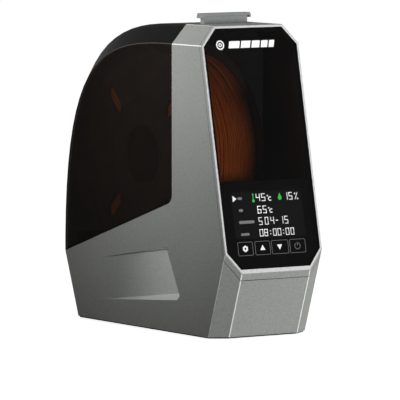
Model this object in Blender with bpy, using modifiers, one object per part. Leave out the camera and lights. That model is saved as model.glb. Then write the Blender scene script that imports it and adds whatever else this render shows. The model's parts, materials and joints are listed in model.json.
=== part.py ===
"""Filament dryer box: a chamfered housing with a glazed front, a hinged smoked lid and a driven-air dry chamber.

Run with: blender --background --python part.py
Sizes below are millimetres and become metres through MM. +Z is up, the front faces -Y, +X is the right-hand
side as seen from the front, and the origin is on the ground under the middle of the outline.
"""
import math

import bmesh
import bpy
from mathutils import Matrix, Vector

MM = 0.001

# Overall housing
WIDTH = 105.5
FRONT_Y = -145.5            # nose of the front panel
REAR_Y = 145.5              # rearmost point of the lid
TOP_Z = 280.4               # flat top of the frame and lid
SKIRT_Z = 2.0               # bottom edge of the painted housing
WALL = 2.2                  # housing and lid wall
EDGE = 0.5                  # small flat along every crease

# Front panel and the facets below it
NOSE_Z = 60.5
PANEL_TILT = math.radians(11.74)
PANEL_CORNER_Z = 78.9       # where the panel's lower chamfer meets the side
FOOT_FRONT_Y = -124.8       # front face where it meets the ground line
CHAMFER_X = 15.7            # chamfer, measured across the width
CHAMFER_Z = 17.4            # chamfer, measured down from the outer outline

# Lid outline: crease on the side, one curve from the top of the frame to the rear corner
PARTING_Y = -54.5           # upright joint between frame and lid
REAR_CORNER_Z = 61.8
TOP_HANDLE_Y = 67.0
REAR_HANDLE_Z = 244.7
REAR_SLOPE = 0.383          # the rear leans in towards the ground: dy / dz
LID_FACETS = 20

# Joint between lid and housing
PARTING_SLOPE = 0.318       # falls towards the rear: -dz / dy
PARTING_CORNER_Z = 119.9
PARTING_RADIUS = 9.0
PARTING_GAP = 0.3           # each side of the joint line

# Clearance and general thickness
GAP = 0.3
THIN = 1.6                  # circuit boards
SUNK = 0.5                  # how far a joined piece runs into the one under it
REACH = 400.0               # cutters run this far past the part

# Side scoops
SCOOP_DEPTH = 8.0
SCOOP_TOP = (-45.3, 78.3)
SCOOP_FRONT = (-67.7, 35.0)
SCOOP_HEEL = (-62.9, 31.1)
SCOOP_REAR_Y = 62.0
SCOOP_REAR_TOP_Z = 60.5
SCOOP_REAR_LOW_Z = 21.5
SCOOP_DRAFT = 2.5

# Front bezel, glass and what sits behind it; depths are measured in from the panel
BEZEL_DEPTH = 3.2
BEZEL_RIM = 2.3
BEZEL_RIM_LOW = 4.0
BEZEL_LIP = 3.5
GLASS_THICK = 1.8
MODULE_DEPTH = 2.3          # face of the display and touch boards
DISPLAY_THICK = 4.0
DISPLAY_HALF = WIDTH / 2 - 10.75
DISPLAY_LOW, DISPLAY_HIGH = 31.3, 76.5
TOUCH_LOW = 15.5
TRAY_HALF = WIDTH / 2 - 7.75
TRAY_LOW, TRAY_HIGH = 7.5, 84.0
TRAY_DEPTH = 22.0
TRAY_WALL = 1.8
BOARD_DEPTH = 12.0
WIRE_WAY_HALF = 6.0
# components on the control board: lower left corner, size, and height
CONTROL_CHIPS = [((-30, 20), (14, 14), 2.5), ((-5, 45), (12, 12), 2.0), ((20, 24), (12, 18), 3.5),
                 ((18, 58), (20, 8), 3.0)]

# Base
COVER_LOW_Z = 0.8
COVER_TOP_Z = 4.2
COVER_SETBACK = 1.2
FOOT_RADIUS = 7.0
FOOT_TALL = 2.4
FOOT_X = 36.0
FOOT_Y = (-96.0, 92.0)
POST_RADIUS = 4.0
POST_X = 36.0
POST_Y = (-72.0, 68.0)
SCREW_RADIUS = 1.5
SCREW_LENGTH = 12.0
SCREW_HEAD_RADIUS = 2.8
SCREW_HEAD_TALL = 1.6

# Chamber floor
FLOOR_Z = 44.0              # underside
FLOOR_THICK = 2.5
LEDGE_TALL = 3.0
LEDGE_REACH = 2.5
VENT_SLOT = 3.0
VENT_PITCH = 7.0
VENT_COUNT = 7

# Spool and rollers
SPOOL_Y = 23.0
SPOOL_RADIUS = 100.0
SPOOL_Z = FLOOR_Z + SPOOL_RADIUS + 12.9
SPOOL_HALF = 34.0
FLANGE_THICK = 3.0
SPOOL_BORE = 27.5
SPOOL_CORE = 33.0
WINDING_RADIUS = SPOOL_RADIUS - 8.0
FLANGE_SLOT_IN, FLANGE_SLOT_OUT, FLANGE_SLOT_WIDE = 0.54 * SPOOL_RADIUS, 0.83 * SPOOL_RADIUS, 12.0
ROLLER_RADIUS = 11.0
ROLLER_WIDE = 8.0
ROLLER_ANGLE = math.radians(30.0)
AXLE_RADIUS = 3.0
BEARING_OUT = 5.5
BRACKET_X = WIDTH / 2 - 13.75   # inner face
BRACKET_THICK = 3.0
AXLE_HALF = BRACKET_X + BRACKET_THICK + 2 * GAP
BRACKET_BAR = 5.0

# Fan and heater, stacked under the chamber floor
FAN_SIDE = 60.0
FAN_THICK = 15.0
FAN_BORE = 28.0
FAN_Z = 8.0
FAN_HUB = 10.0
FAN_BLADES = 7
FAN_STRUTS, STRUT_WIDE = 3, 3.0
MOTOR_TALL = 2.0
BLADE_LONG, BLADE_CHORD, BLADE_THICK = 17.0, 9.0, 1.2
BLADE_PITCH = math.radians(38.0)
HEATER_TALL = 12.0
HEATER_FINS = 7
DUCT_WALL = 1.8

# Desiccant tray, in front of the spool
TRAY_BOX_X = 38.0
TRAY_BOX_Y = (-113.5, -62.0)
TRAY_BOX_TALL = 15.0
TRAY_BOX_WALL = 1.8

# Stopper on the top of the frame
PLUG_NECK = (47.0, 6.0)
PLUG_HEAD = (53.0, 9.0)
PLUG_NECK_TALL = 6.8
PLUG_HEAD_TALL = 2.9
PLUG_LIP = 1.6
PLUG_SETBACK = 0.5          # from the joint with the lid
PLUG_STEM = 7.0
PLUG_LIP_WIDE = 1.8
INSERT_RIM, INSERT_TALL = 4.0, 4.0

# Hinge along the rear edge
HINGE_INSET = 3.1           # axis in from the rearmost face
HINGE_RISE = 3.6            # axis above the joint line, so that the lid's lower edge swings inside SWING_RADIUS
SWING_RADIUS = 4.3          # kept clear of the housing about the axis
KNUCKLE_RADIUS = 2.8
KNUCKLE_ROOM = 1.4          # between a knuckle and the lid's wall
KNUCKLE_LENGTH = 12.0
KNUCKLE_COUNT = 5
PIN_RADIUS = 1.2
LEAF_THICK = 1.5
LEAF_SINK = 2.2             # outer face of the lower leaf, in from the axis
LID_LEAF_LONG = 17.0

# Power inlet and rear vents
INLET_X = 24.0
INLET_RADIUS = 5.0
INLET_UP = 22.0             # up the rear face from the ground line
INLET_DEPTH = 14.0
INLET_SOCKET, INLET_CONTACT = 3.0, 1.0
REAR_VENT_X, REAR_VENT_PITCH, REAR_VENT_COUNT = -24.0, 8.0, 5
REAR_VENT_HALF = 9.0
POWER_Z = 10.0
POWER_X, POWER_Y = (-31.0, 18.0), (65.0, 110.0)
# components on the power board: near corner, size, and height
POWER_BLOCKS = [((-28, 68), (16, 14), 12.0), ((-8, 70), (9, 9), 9.0), ((-26, 90), (12, 12), 8.0),
                ((2, 88), (12, 16), 7.0)]
SENSOR_HALF, SENSOR_Y, SENSOR_TALL = 8.0, (104.0, 118.0), 9.0
SEAL_THICK = 1.8
SEAL_BELOW, SEAL_ABOVE = 1.2, 2.6   # how far the seal reaches each side of the joint

ALONG_X = Matrix.Rotation(math.radians(90), 4, "Y")
ALONG_Z = Matrix.Identity(4)


# ---------------------------------------------------------------- scene and materials

def clear_scene():
    for obj in list(bpy.data.objects):
        bpy.data.objects.remove(obj, do_unlink=True)


def collection(name):
    made = bpy.data.collections.new(name)
    bpy.context.scene.collection.children.link(made)
    return made


clear_scene()
PARTS = collection("filament_dryer_box")
TOOLS = collection("cutters")


def material(name, colour, roughness, metallic=0.0, alpha=1.0):
    made = bpy.data.materials.new(name)
    made.use_nodes = True
    shader = made.node_tree.nodes["Principled BSDF"]
    shader.inputs["Base Color"].default_value = (*colour, 1.0)
    shader.inputs["Roughness"].default_value = roughness
    shader.inputs["Metallic"].default_value = metallic
    shader.inputs["Alpha"].default_value = alpha
    made.diffuse_color = (*colour, alpha)
    return made


PAINT = dict(colour=(0.28, 0.29, 0.27), roughness=0.42, metallic=0.6)
TRIM = dict(colour=(0.70, 0.70, 0.69), roughness=0.22, metallic=0.9)
GLASS = dict(colour=(0.01, 0.01, 0.01), roughness=0.05, alpha=0.6)
SMOKE = dict(colour=(0.03, 0.025, 0.02), roughness=0.08, alpha=0.55)
BLACK = dict(colour=(0.02, 0.02, 0.02), roughness=0.5)
DARK = dict(colour=(0.05, 0.05, 0.05), roughness=0.6)
RUBBER = dict(colour=(0.03, 0.03, 0.03), roughness=0.85)
STEEL = dict(colour=(0.55, 0.55, 0.56), roughness=0.3, metallic=1.0)
BOARD = dict(colour=(0.02, 0.16, 0.07), roughness=0.5)
SCREEN = dict(colour=(0.01, 0.012, 0.014), roughness=0.2)
SILICONE = dict(colour=(0.33, 0.38, 0.38), roughness=0.6)
FILAMENT = dict(colour=(0.75, 0.18, 0.03), roughness=0.35)
HEAT = dict(colour=(0.62, 0.63, 0.64), roughness=0.35, metallic=1.0)


# ---------------------------------------------------------------- building blocks

def add_object(name, mesh, finish, matrix):
    """Part when it has a finish, cutter when it has none."""
    obj = bpy.data.objects.new(name, mesh)
    obj.matrix_world = matrix
    if finish is None:
        TOOLS.objects.link(obj)
        obj.hide_render = True
        obj.display_type = "WIRE"
    else:
        PARTS.objects.link(obj)
        mesh.materials.append(material(name + "_finish", **finish))
    return obj


def mesh_from(bm, name, smooth_angle=None):
    mesh = bpy.data.meshes.new(name)
    bm.to_mesh(mesh)
    bm.free()
    if smooth_angle:
        mesh.shade_smooth()
        mesh.set_sharp_from_angle(angle=math.radians(smooth_angle))
    return mesh


def box(name, low, high, finish=None, frame=ALONG_Z, bevel=0.0):
    low, high = Vector(low), Vector(high)
    size = (high - low) * MM
    bm = bmesh.new()
    bmesh.ops.create_cube(bm, size=1.0)
    bmesh.ops.scale(bm, vec=size, verts=bm.verts)
    centre = Matrix.Translation((low + high) / 2 * MM)
    obj = add_object(name, mesh_from(bm, name), finish, frame @ centre)
    if bevel:
        round_edges(obj, bevel)
    return obj


def cylinder(name, radius, length, centre, finish=None, turn=ALONG_Z, frame=ALONG_Z, sides=32):
    bm = bmesh.new()
    bmesh.ops.create_cone(bm, cap_ends=True, segments=sides, radius1=radius * MM, radius2=radius * MM,
                          depth=length * MM)
    place = frame @ Matrix.Translation(Vector(centre) * MM) @ turn
    return add_object(name, mesh_from(bm, name, 40), finish, place)


def turned(name, profile, centre, finish=None, turn=ALONG_Z, sides=48):
    """A closed profile of (radius, height) spun about the local Z; it starts down its outer side."""
    mesh = bpy.data.meshes.new(name)
    points = [(radius * MM, 0.0, height * MM) for radius, height in profile]
    ring = [(i, (i + 1) % len(points)) for i in range(len(points))]
    mesh.from_pydata(points, ring, [])
    obj = add_object(name, mesh, finish, Matrix.Translation(Vector(centre) * MM) @ turn)
    spin = obj.modifiers.new("spin", "SCREW")
    spin.axis = "Z"
    spin.steps = spin.render_steps = sides
    spin.use_merge_vertices = True
    spin.merge_threshold = 0.00001
    spin.use_smooth_shade = False
    return obj


def ring_profile(inner, outer, half):
    return [(outer, half), (outer, -half), (inner, -half), (inner, half)]


def slab(name, outline, low, high, finish=None, frame=ALONG_Z):
    """A flat outline in the local XY plane, from height low to high."""
    curve = bpy.data.curves.new(name, "CURVE")
    curve.dimensions = "2D"
    curve.fill_mode = "BOTH"
    curve.extrude = (high - low) / 2 * MM
    spline = curve.splines.new("POLY")
    spline.points.add(len(outline) - 1)
    for point, (across, along) in zip(spline.points, outline):
        point.co = (across * MM, along * MM, 0.0, 1.0)
    spline.use_cyclic_u = True
    flat = bpy.data.objects.new(name + "_curve", curve)
    TOOLS.objects.link(flat)
    flat.matrix_world = frame @ Matrix.Translation((0, 0, (high + low) / 2 * MM))
    return solid_from_curve(flat, name, finish)


def solid_from_curve(flat, name, finish):
    bpy.context.view_layer.update()
    evaluated = flat.evaluated_get(bpy.context.evaluated_depsgraph_get())
    mesh = bpy.data.meshes.new_from_object(evaluated)
    mesh.name = name
    bm = bmesh.new()
    bm.from_mesh(mesh)
    bmesh.ops.remove_doubles(bm, verts=bm.verts, dist=0.00001)
    bmesh.ops.dissolve_limit(bm, angle_limit=0.001, verts=bm.verts, edges=bm.edges)
    bm.to_mesh(mesh)
    bm.free()
    place = flat.matrix_world.copy()
    bpy.data.objects.remove(flat, do_unlink=True)
    return add_object(name, mesh, finish, place)


def trimmed(name, planes, finish=None):
    """A convex solid: a large cube cut by each plane, given as a point and its outward normal."""
    bm = bmesh.new()
    bmesh.ops.create_cube(bm, size=2 * REACH * MM)
    for point, normal in planes:
        everything = bm.verts[:] + bm.edges[:] + bm.faces[:]
        cut = bmesh.ops.bisect_plane(bm, geom=everything, dist=0.0000001, plane_co=Vector(point) * MM,
                                     plane_no=normal, clear_outer=True)
        rim = [item for item in cut["geom_cut"] if isinstance(item, bmesh.types.BMEdge)]
        if rim:
            bmesh.ops.contextual_create(bm, geom=rim)
    bmesh.ops.remove_doubles(bm, verts=bm.verts, dist=0.00002)
    bmesh.ops.recalc_face_normals(bm, faces=bm.faces)
    return add_object(name, mesh_from(bm, name), finish, Matrix.Identity(4))


def hull(name, points, finish=None):
    bm = bmesh.new()
    for point in points:
        bm.verts.new(Vector(point) * MM)
    wrapped = bmesh.ops.convex_hull(bm, input=bm.verts)
    spare = [item for item in wrapped["geom_interior"] + wrapped["geom_unused"]
             if isinstance(item, bmesh.types.BMVert)]
    bmesh.ops.delete(bm, geom=spare, context="VERTS")
    bmesh.ops.recalc_face_normals(bm, faces=bm.faces)
    return add_object(name, mesh_from(bm, name), finish, Matrix.Identity(4))


def round_edges(obj, width, angle=25):
    bevel = obj.modifiers.new("edge", "BEVEL")
    bevel.width = width * MM
    bevel.segments = 1
    bevel.limit_method = "ANGLE"
    bevel.angle_limit = math.radians(angle)
    return bevel


def boolean(obj, other, operation):
    change = obj.modifiers.new(operation.lower(), "BOOLEAN")
    change.operation = operation
    change.solver = "EXACT"
    change.object = other
    return change


def cut(obj, *others):
    for other in others:
        boolean(obj, other, "DIFFERENCE")
    return obj


def join(obj, *others):
    for other in others:
        boolean(obj, other, "UNION")
    return obj


def keep(obj, *others):
    for other in others:
        boolean(obj, other, "INTERSECT")
    return obj


def joint_axis(name, place, *children):
    """An empty on a joint's axis, which carries the pieces that move about it."""
    axis = bpy.data.objects.new(name, None)
    axis.location = Vector(place) * MM
    PARTS.objects.link(axis)
    for child in children:
        child.parent = axis
        child.matrix_parent_inverse = Matrix.Translation(-Vector(place) * MM)
    return axis


# ---------------------------------------------------------------- outline of the housing

def unit(*parts):
    return Vector(parts).normalized()


def crease_frames():
    """The lid's side crease, front to rear: (y, z) points with the outward normal at each."""
    knots = [Vector((PARTING_Y, TOP_Z - CHAMFER_Z)), Vector((TOP_HANDLE_Y, TOP_Z - CHAMFER_Z)),
             Vector((REAR_Y - CHAMFER_Z, REAR_HANDLE_Z)), Vector((REAR_Y - CHAMFER_Z, REAR_CORNER_Z))]
    frames = []
    for step in range(LID_FACETS + 1):
        t = step / LID_FACETS
        s = 1 - t
        point = s ** 3 * knots[0] + 3 * s * s * t * knots[1] + 3 * s * t * t * knots[2] + t ** 3 * knots[3]
        along = s * s * (knots[1] - knots[0]) + 2 * s * t * (knots[2] - knots[1]) + t * t * (knots[3] - knots[2])
        along.normalize()
        frames.append((point, Vector((-along.y, along.x))))
    frames.append((knots[3], Vector((1, -REAR_SLOPE)).normalized()))
    return frames


def panel_y(z):
    """Depth of the front panel's plane at a height."""
    return FRONT_Y + (z - NOSE_Z) * math.tan(PANEL_TILT)


def housing_planes(inset=0.0):
    """Every face of housing and lid together, moved in by inset; the ground side stays open-ended."""
    half = WIDTH / 2
    middle = half - CHAMFER_X
    planes = [((0, panel_y(0), 0), unit(0, -math.cos(PANEL_TILT), math.sin(PANEL_TILT)))]
    low_run = Vector((FOOT_FRONT_Y - FRONT_Y, SKIRT_Z - NOSE_Z))
    planes.append(((0, FRONT_Y, NOSE_Z), unit(0, low_run.y, -low_run.x)))
    for side in (-1, 1):
        planes.append(((side * half, 0, 0), unit(side, 0, 0)))
        corner = Vector((side * half, panel_y(PANEL_CORNER_Z), PANEL_CORNER_Z))
        nose = Vector((side * middle, FRONT_Y, NOSE_Z))
        ground = Vector((side * middle, FOOT_FRONT_Y, SKIRT_Z))
        facet = (nose - corner).cross(ground - corner).normalized()
        planes.append((corner, facet if facet.x * side > 0 else -facet))
    for point, out in crease_frames():
        planes.append(((0, point.x + out.x * CHAMFER_Z, point.y + out.y * CHAMFER_Z), unit(0, out.x, out.y)))
        for side in (-1, 1):
            normal = unit(side * CHAMFER_Z, out.x * CHAMFER_X, out.y * CHAMFER_X)
            planes.append(((side * half, point.x, point.y), normal))
    return [(Vector(point) - normal * inset, normal) for point, normal in planes]


def between(low, high):
    """The two level planes that keep a slice of the housing."""
    return [((0, 0, low), unit(0, 0, -1)), ((0, 0, high), unit(0, 0, 1))]


def parting_z(y):
    return PARTING_CORNER_Z - PARTING_SLOPE * (y - PARTING_Y)


def lid_space(name, shift):
    """The space the lid takes, seen from the side, drawn in by shift."""
    fall = math.atan(PARTING_SLOPE)
    up = Vector((math.sin(fall), math.cos(fall)))
    radius = PARTING_RADIUS
    centre_y = PARTING_Y + radius
    centre_z = parting_z(centre_y) + radius / math.cos(fall)
    centre = Vector((centre_y, centre_z))
    outline = []
    for step in range(7):
        turn = math.radians(180) + (math.radians(90) - fall) * step / 6
        outline.append(centre + (radius - shift) * Vector((math.cos(turn), math.sin(turn))))
    down_the_line = outline[-1] + Vector((up.y, -up.x)) * REACH
    outline += [down_the_line, Vector((down_the_line.x, REACH)), Vector((outline[0].x, REACH))]
    frame = Matrix.Rotation(math.radians(90), 4, "Z") @ Matrix.Rotation(math.radians(90), 4, "X")
    return slab(name, [tuple(point) for point in outline], -WIDTH, WIDTH, frame=frame)


def panel_frame():
    """Local X across, Y up the front panel from its nose, Z out of it."""
    return Matrix.Translation((0, FRONT_Y * MM, NOSE_Z * MM)) @ Matrix.Rotation(math.pi / 2 - PANEL_TILT, 4, "X")


def rear_point(up):
    """A point on the rear face, measured up the face from the ground line."""
    lean = math.atan(REAR_SLOPE)
    corner = Vector((REAR_Y - CHAMFER_Z, REAR_CORNER_Z)) + CHAMFER_Z * Vector((math.cos(lean), -math.sin(lean)))
    y = corner.x - (corner.y - up) * REAR_SLOPE
    return Vector((0, y, up))


def rear_frame(up):
    """Local Y up the rear face, Z out of it, X towards the left-hand side."""
    lean = math.atan(REAR_SLOPE)
    turn = Matrix.Rotation(math.pi, 4, "Z") @ Matrix.Rotation(math.pi / 2 + lean, 4, "X")
    return Matrix.Translation(rear_point(up) * MM) @ turn


def hinge_centre():
    return Vector((0, REAR_Y - HINGE_INSET, parting_z(REAR_Y) + HINGE_RISE))


def roller_centre(front):
    reach = SPOOL_RADIUS + ROLLER_RADIUS + GAP
    side = -1 if front else 1
    return Vector((0, SPOOL_Y + side * reach * math.sin(ROLLER_ANGLE), SPOOL_Z - reach * math.cos(ROLLER_ANGLE)))


def offset_outline(outline, distances):
    """A convex outline drawn in by its own distance along each edge, edge i running from point i."""
    count = len(outline)
    lines = []
    for i in range(count):
        start, end = Vector(outline[i]), Vector(outline[(i + 1) % count])
        along = (end - start).normalized()
        lines.append((start + Vector((-along.y, along.x)) * distances[i], along))
    moved = []
    for i in range(count):
        (here, along), (before, earlier) = lines[i], lines[i - 1]
        gap = here - before
        reach = (gap.x * along.y - gap.y * along.x) / (earlier.x * along.y - earlier.y * along.x)
        moved.append(before + earlier * reach)
    return moved


def panel_outline(inset):
    """The front panel's eight corners in its own plane, anticlockwise from the nose, drawn in."""
    half = WIDTH / 2
    middle = half - CHAMFER_X
    steep = math.cos(PANEL_TILT)
    heights = [(PANEL_CORNER_Z - NOSE_Z) / steep, (TOP_Z - CHAMFER_Z - NOSE_Z) / steep, (TOP_Z - NOSE_Z) / steep]
    corners = [(-middle, 0), (middle, 0), (half, heights[0]), (half, heights[1]), (middle, heights[2]),
               (-middle, heights[2]), (-half, heights[1]), (-half, heights[0])]
    low_inset = inset + BEZEL_RIM_LOW - BEZEL_RIM
    return offset_outline(corners, [low_inset] + [inset] * 7)


def scoop(name, side, grow=0.0):
    """The hollow pressed into a side: deepest along its front edge, running out towards the rear."""
    face = side * WIDTH / 2
    floor = side * (WIDTH / 2 - SCOOP_DEPTH - grow)
    fade = side * (WIDTH / 2 - grow)
    rim = [(SCOOP_TOP[0] - grow, SCOOP_TOP[1] + grow), (SCOOP_FRONT[0] - grow, SCOOP_FRONT[1]),
           (SCOOP_HEEL[0] - grow, SCOOP_HEEL[1] - grow), (SCOOP_REAR_Y + grow, SCOOP_REAR_LOW_Z - grow),
           (SCOOP_REAR_Y + grow, SCOOP_REAR_TOP_Z + grow)]
    points = [(face + side * 10, y, z) for y, z in rim]
    points += [(fade, y, z) for y, z in rim]
    points.append((floor, SCOOP_TOP[0] + SCOOP_DRAFT - grow, SCOOP_TOP[1] - SCOOP_DRAFT + grow))
    points.append((floor, SCOOP_FRONT[0] + SCOOP_DRAFT - grow, SCOOP_FRONT[1] + SCOOP_DRAFT - grow))
    return hull(name, points)


# ---------------------------------------------------------------- housing

def make_housing():
    shell = trimmed("main_shell", housing_planes(), PAINT)
    round_edges(shell, EDGE)
    inner = trimmed("shell_inside", housing_planes(WALL))
    ledge = trimmed("shell_ledge", housing_planes(WALL / 2) + between(FLOOR_Z - GAP - LEDGE_TALL, FLOOR_Z - GAP))
    ledge_hole = trimmed("shell_ledge_hole", housing_planes(WALL + LEDGE_REACH))
    cut(ledge, ledge_hole)
    scoops = []
    for side, word in ((-1, "left"), (1, "right")):
        cut(inner, scoop("scoop_wall_" + word, side, WALL))
        scoops.append(scoop("scoop_" + word, side))
    panel = panel_frame()
    span = WIDTH
    below = box("below_ground_line", (-span, -REACH, -REACH), (span, REACH, SKIRT_Z))
    ahead = box("ahead_of_shell", (-span, -REACH, -BEZEL_DEPTH - GAP), (span, REACH, REACH), frame=panel)
    cut(shell, inner)
    join(shell, ledge)
    cut(shell, *scoops, below, ahead, lid_space("lid_space_in_shell", -PARTING_GAP))
    cut(shell, swing_room("shell_swing_room"), inlet_hole(), plug_slot("shell_plug_slot"), *rear_vents())


def hinge_length():
    return KNUCKLE_LENGTH * KNUCKLE_COUNT


def swing_room(name):
    """The round space that the lid's lower rear edge turns through."""
    return cylinder(name, SWING_RADIUS, 2 * WIDTH, hinge_centre(), turn=ALONG_X)


def inlet_hole():
    centre = (INLET_X, 0, 0)
    return cylinder("inlet_hole", INLET_RADIUS + GAP, 20, centre, frame=rear_frame(INLET_UP))


def rear_vents():
    frame = rear_frame(INLET_UP)
    slots = []
    for i in range(REAR_VENT_COUNT):
        across = REAR_VENT_X + i * REAR_VENT_PITCH
        slots.append(box("rear_vent_cut_%d" % i, (across - VENT_SLOT / 2, -REAR_VENT_HALF, -15),
                         (across + VENT_SLOT / 2, REAR_VENT_HALF, 15), frame=frame))
    return slots


def plug_slot(name):
    across, deep = PLUG_NECK
    front, back = plug_span(deep)
    return box(name, (-across / 2 - GAP, front - GAP, TOP_Z - 12), (across / 2 + GAP, back + GAP, TOP_Z + 5))


def plug_span(deep):
    """Front and back of a stopper section, all centred on the neck."""
    middle = PARTING_Y - PARTING_GAP - PLUG_SETBACK - WALL - PLUG_NECK[1] / 2
    return middle - deep / 2, middle + deep / 2


def make_bottom():
    cover = trimmed("bottom_cover", housing_planes(COVER_SETBACK) + between(COVER_LOW_Z, SKIRT_Z - GAP), BLACK)
    plug = trimmed("cover_plug", housing_planes(WALL + GAP) + between(COVER_LOW_Z + 0.4, COVER_TOP_Z))
    join(cover, plug)
    for row, y in zip(("front", "rear"), FOOT_Y):
        for word, x in (("left", -FOOT_X), ("right", FOOT_X)):
            name = "%s_%s" % (row, word)
            cylinder("foot_" + name, FOOT_RADIUS, FOOT_TALL, (x, y, FOOT_TALL / 2), RUBBER, sides=24)
            pocket = cylinder("foot_pocket_" + name, FOOT_RADIUS + GAP, FOOT_TALL, (x, y, FOOT_TALL / 2 + GAP),
                              sides=24)
            cut(cover, pocket)
    for row, y in zip(("front", "rear"), POST_Y):
        for word, x in (("left", -POST_X), ("right", POST_X)):
            name = "%s_%s" % (row, word)
            head_top = COVER_LOW_Z + 0.3 + SCREW_HEAD_TALL
            screw = cylinder("cover_screw_" + name, SCREW_HEAD_RADIUS, SCREW_HEAD_TALL,
                             (x, y, head_top - SCREW_HEAD_TALL / 2), STEEL, sides=20)
            shank = cylinder("screw_shank_" + name, SCREW_RADIUS, SCREW_LENGTH,
                             (x, y, head_top - 0.4 + SCREW_LENGTH / 2), sides=12)
            join(screw, shank)
            room = cylinder("screw_room_" + name, SCREW_HEAD_RADIUS + GAP, head_top + GAP, (x, y, (head_top + GAP) / 2),
                            sides=20)
            way = cylinder("screw_way_" + name, SCREW_RADIUS + GAP, 20, (x, y, 8), sides=12)
            cut(cover, room, way)


def make_front():
    panel = panel_frame()
    bezel = trimmed("front_bezel", housing_planes(), TRIM)
    round_edges(bezel, EDGE)
    behind = box("behind_bezel", (-WIDTH, -REACH, -2 * REACH), (WIDTH, REACH, -BEZEL_DEPTH), frame=panel)
    seat = slab("glass_seat", panel_outline(BEZEL_RIM), -GLASS_THICK - GAP, 20, frame=panel)
    light = slab("bezel_light", panel_outline(BEZEL_RIM + BEZEL_LIP), -40, 20, frame=panel)
    cut(bezel, behind, seat, light)
    slab("front_glass", panel_outline(BEZEL_RIM + GAP), -GLASS_THICK, 0, GLASS, frame=panel)
    half, low, high = DISPLAY_HALF, DISPLAY_LOW, DISPLAY_HIGH
    box("display_module", (-half, low, -MODULE_DEPTH - DISPLAY_THICK), (half, high, -MODULE_DEPTH), SCREEN,
        frame=panel, bevel=0.4)
    box("touch_board", (-half, TOUCH_LOW, -MODULE_DEPTH - THIN), (half, low - 0.4, -MODULE_DEPTH), BOARD, frame=panel)
    tray_front = -BEZEL_DEPTH - 2 * GAP
    tray = box("display_tray", (-TRAY_HALF, TRAY_LOW, -TRAY_DEPTH), (TRAY_HALF, TRAY_HIGH, tray_front), BLACK,
               frame=panel, bevel=1.5)
    wall = TRAY_WALL
    hollow = box("tray_hollow", (-TRAY_HALF + wall, TRAY_LOW + wall, -TRAY_DEPTH + wall),
                 (TRAY_HALF - wall, TRAY_HIGH - wall, 5), frame=panel)
    wire_way = box("tray_wire_way", (-WIRE_WAY_HALF, TRAY_LOW - 5, -TRAY_DEPTH + 3),
                   (WIRE_WAY_HALF, TRAY_LOW + 5, -TRAY_DEPTH + 8), frame=panel)
    cut(tray, hollow, wire_way)
    board = box("control_board", (-half + 2, TRAY_LOW + 3, -BOARD_DEPTH - THIN), (half - 2, TRAY_HIGH - 4,
                -BOARD_DEPTH), BOARD, frame=panel)
    for i, ((x, y), (wide, tall), thick) in enumerate(CONTROL_CHIPS):
        chip = box("board_chip_%d" % i, (x, y, -BOARD_DEPTH - SUNK), (x + wide, y + tall, -BOARD_DEPTH + thick),
                   frame=panel)
        join(board, chip)


# ---------------------------------------------------------------- dry chamber

def make_floor():
    top = FLOOR_Z + FLOOR_THICK
    floor = trimmed("chamber_floor", housing_planes(WALL + 2 * GAP) + between(FLOOR_Z, top), DARK)
    for side, word in ((-1, "left"), (1, "right")):
        cut(floor, scoop("floor_scoop_room_" + word, side, WALL + 3 * GAP))
    for row, y in zip(("front", "rear"), POST_Y):
        for word, x in (("left", -POST_X), ("right", POST_X)):
            name = "%s_%s" % (row, word)
            low = COVER_TOP_Z + GAP
            post = cylinder("post_" + name, POST_RADIUS, FLOOR_Z + 1 - low, (x, y, (FLOOR_Z + 1 + low) / 2), sides=20)
            bore = cylinder("post_bore_" + name, SCREW_RADIUS + GAP, 20, (x, y, 8), sides=12)
            join(floor, post)
            cut(floor, bore)
    span = FAN_SIDE / 2 - 6
    for i in range(VENT_COUNT):
        y = SPOOL_Y + (i - (VENT_COUNT - 1) / 2) * VENT_PITCH
        slot = box("floor_vent_%d" % i, (-span, y - VENT_SLOT / 2, FLOOR_Z - 5), (span, y + VENT_SLOT / 2, top + 5))
        cut(floor, slot)


def make_brackets():
    base = FLOOR_Z + FLOOR_THICK + GAP
    front, rear = roller_centre(True), roller_centre(False)
    shoulder = front.z + BEARING_OUT + 3
    reach = BEARING_OUT + 4
    outline = [(front.y - reach - 3, base), (front.y - reach, shoulder), (front.y + reach, shoulder),
               (front.y + reach + 5, base + BRACKET_BAR), (rear.y - reach - 5, base + BRACKET_BAR),
               (rear.y - reach, shoulder), (rear.y + reach, shoulder), (rear.y + reach + 3, base)]
    frame = Matrix.Rotation(math.radians(90), 4, "Z") @ Matrix.Rotation(math.radians(90), 4, "X")
    for word, low in (("left", -BRACKET_X - BRACKET_THICK), ("right", BRACKET_X)):
        bracket = slab("roller_bracket_" + word, outline, low, low + BRACKET_THICK, DARK, frame=frame)
        for row, centre in (("front", front), ("rear", rear)):
            middle = (low + BRACKET_THICK / 2, centre.y, centre.z)
            cut(bracket, cylinder("bearing_seat_%s_%s" % (row, word), BEARING_OUT + GAP, 10, middle, turn=ALONG_X))
            turned("bearing_%s_%s" % (row, word), ring_profile(AXLE_RADIUS + GAP, BEARING_OUT, BRACKET_THICK / 2),
                   middle, STEEL, turn=ALONG_X, sides=24)


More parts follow.
